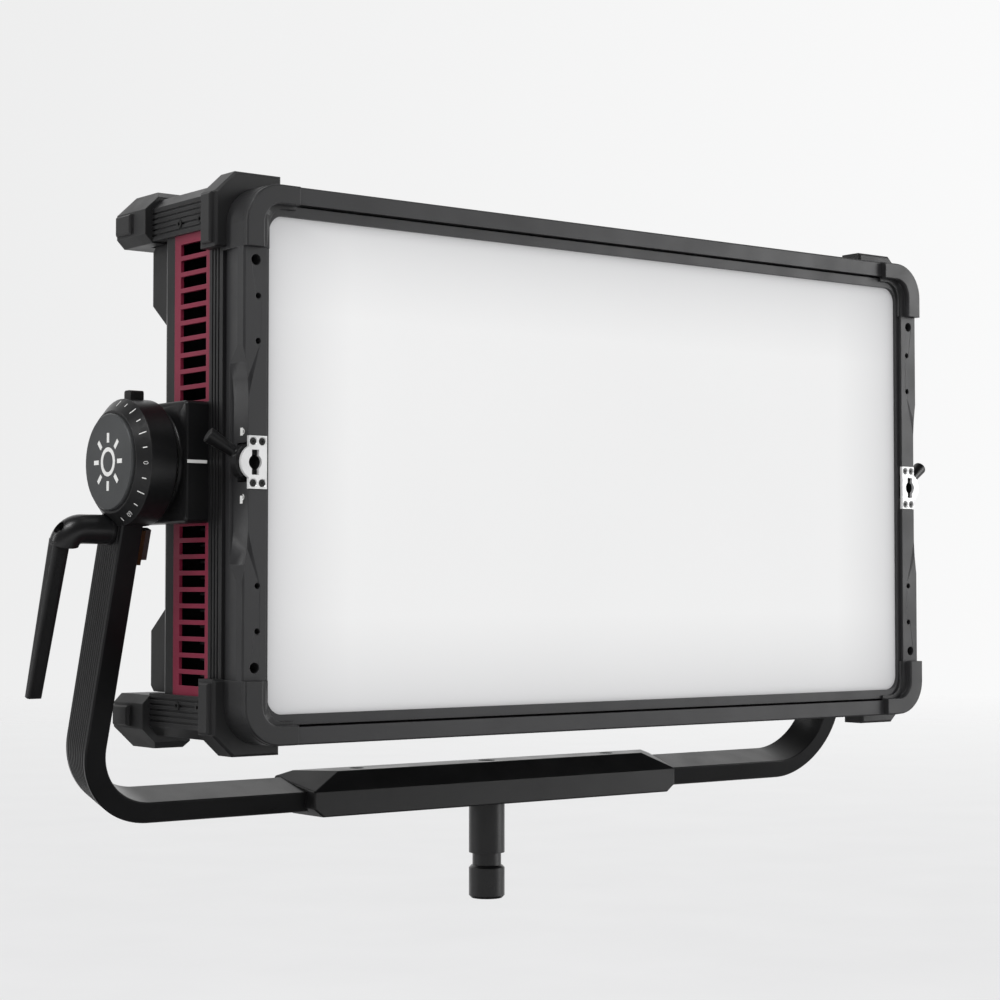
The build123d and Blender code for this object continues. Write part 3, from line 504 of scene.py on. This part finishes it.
def bracket_marks():
    """The line on the front of each tilt bracket that the dial is read against."""
    bm = bmesh.new()
    for side in (-1, 1):
        place = Matrix(((1, 0, 0, side * BRACKET_MARK_X), (0, 0, -1, BRACKET_FRONT), (0, 1, 0, TILT.z),
                        (0, 0, 0, 1)))
        add_plate(bm, place, rectangle((-7.6 * MM, 7.6 * MM), (-1.1 * MM, 1.1 * MM)), PRINT)
    new_piece("bracket_marks", mesh_from(bm, "bracket_marks"), "head", PRINT_WHITE)


def lock_marks():
    """A closed and an open padlock beside each accessory latch."""
    bm = bmesh.new()
    for side in (-1, 1):
        for height, lift in ((21.0, 0.0), (-24.0, 1.6)):
            place = side_place(side, side * LOCK_MARK_X, FACE_Y + LOCK_MARK_BEHIND, HEAD_Z + height * MM)
            add_plate(bm, place, rectangle((-1.6 * MM, 1.6 * MM), (-2.6 * MM, 2.6 * MM)), PRINT)
            shackle = place @ Matrix.Translation((1.6 * MM, lift * MM, 0))
            add_arc(bm, shackle, (1.3 * MM, 2.0 * MM), (-90, 90), PRINT, 10)
    new_piece("lock_marks", mesh_from(bm, "lock_marks"), "head", PRINT_WHITE)


# ---- room ----------------------------------------------------------------------------------------

def area_light(name, place, target, size, power):
    light = bpy.data.lights.new(name, "AREA")
    light.shape = "RECTANGLE"
    light.size, light.size_y = size
    light.energy = power
    holder = bpy.data.objects.new(name, light)
    holder.location = place
    holder.rotation_euler = (Vector(target) - Vector(place)).to_track_quat("-Z", "Y").to_euler()
    bpy.context.scene.collection.objects.link(holder)


FLOOR_Z = -0.95


def floor():
    """A pale floor that fades into the room under the light and far behind it."""
    made = Nodes("pale_floor")
    made.link(made.mix(made.span(made.noise(2.0), 0.3, 0.7), (0.86, 0.86, 0.865), (0.88, 0.88, 0.885)),
              made.shader.inputs["Base Color"])
    made.shader.inputs["Roughness"].default_value = 1.0
    made.shader.inputs["Specular IOR Level"].default_value = 0.0
    distance = made.tree.nodes.new("ShaderNodeVectorMath")
    distance.operation = "LENGTH"
    made.link(made.place, distance.inputs[0])
    near = made.span(distance.outputs["Value"], 1.5, 4.5)
    far = made.span(distance.outputs["Value"], 5.0, 22.0, 1.0, 0.0)
    made.link(made.math("MULTIPLY", near, far), made.shader.inputs["Alpha"])
    bm = bmesh.new()
    bmesh.ops.create_circle(bm, cap_ends=True, radius=24.0, segments=96)
    bmesh.ops.translate(bm, verts=bm.verts, vec=(0, 0, FLOOR_Z))
    disc = bpy.data.objects.new("floor", mesh_from(bm, "floor"))
    disc.data.materials.append(made.material)
    bpy.context.scene.collection.objects.link(disc)


def toward(tree, direction, axis, low, high, amount):
    """A value that grows from nought to an amount as a direction comes nearer to an axis."""
    dot = tree.nodes.new("ShaderNodeVectorMath")
    dot.operation = "DOT_PRODUCT"
    dot.inputs[1].default_value = Vector(axis).normalized()
    tree.links.new(direction, dot.inputs[0])
    span = tree.nodes.new("ShaderNodeMapRange")
    span.inputs["From Min"].default_value = low
    span.inputs["From Max"].default_value = high
    span.inputs["To Max"].default_value = amount
    tree.links.new(dot.outputs["Value"], span.inputs["Value"])
    return span.outputs["Result"]


def summed(tree, start, values):
    total = start
    for value in values:
        add = tree.nodes.new("ShaderNodeMath")
        add.operation = "ADD"
        for socket, source in zip(add.inputs, (total, value)):
            if isinstance(source, float):
                socket.default_value = source
            else:
                tree.links.new(source, socket)
        total = add.outputs["Value"]
    return total


# What glossy pieces mirror in an otherwise dark room: a pale wall high up behind the light and a bright one
# in front of it on the right. Each is an axis, the cosines where it starts and is full, and its strength.
MIRRORED = (((0.45, 0.82, 0.3), 0.5, 1.0, 1.35), ((0.8, -0.58, 0.12), 0.93, 1.0, 4.6))
# What is seen behind the light: the room is brightest to the right.
BACKDROP = ((0.79, -0.61, 0.0), -0.22, 0.22, 0.1)


def studio():
    """A pale room that is dark to mirror, but for two walls, and three soft boxes that draw the edges."""
    world = bpy.data.worlds.new("studio")
    world.use_nodes = True
    tree = world.node_tree
    direction = tree.nodes.new("ShaderNodeTexCoord").outputs["Generated"]
    room = tree.nodes["Background"]
    room.inputs["Color"].default_value = (0.998, 0.999, 1.0, 1.0)
    tree.links.new(summed(tree, 0.855, [toward(tree, direction, *BACKDROP)]), room.inputs["Strength"])
    mirrored = tree.nodes.new("ShaderNodeBackground")
    walls = [toward(tree, direction, *wall) for wall in MIRRORED]
    tree.links.new(summed(tree, 0.03, walls), mirrored.inputs["Strength"])
    path = tree.nodes.new("ShaderNodeLightPath")
    choose = tree.nodes.new("ShaderNodeMixShader")
    tree.links.new(path.outputs["Is Glossy Ray"], choose.inputs["Fac"])
    tree.links.new(room.outputs["Background"], choose.inputs[1])
    tree.links.new(mirrored.outputs["Background"], choose.inputs[2])
    tree.links.new(choose.outputs["Shader"], tree.nodes["World Output"].inputs["Surface"])
    bpy.context.scene.world = world
    centre = (0.0, -0.08, 0.25)
    area_light("key", (-1.5, -0.8, 2.1), centre, (1.0, 0.8), 22.0)
    area_light("back_left", (-2.2, 1.2, 0.9), centre, (0.5, 1.6), 12.0)
    area_light("right_fill", (2.4, -1.3, 0.8), centre, (1.2, 1.4), 10.0)


CAMERA_PLACE = (-1.1019, -1.4324, 0.1723)
CAMERA_TURN = (math.radians(92.1857), 0.0, math.radians(-37.905))
FOCAL_MM = 81.01


def camera():
    lens = bpy.data.cameras.new("camera")
    lens.lens = FOCAL_MM
    lens.sensor_width = 36.0
    lens.clip_end = 200.0
    holder = bpy.data.objects.new("camera", lens)
    holder.location = CAMERA_PLACE
    holder.rotation_euler = CAMERA_TURN
    bpy.context.scene.collection.objects.link(holder)
    bpy.context.scene.camera = holder
    bpy.context.scene.view_settings.view_transform = "Standard"


finish_nodes()
yoke_bar()
dial_marks()
dial_numbers()
cap_marks()
bracket_marks()
lock_marks()
floor()
studio()
camera()
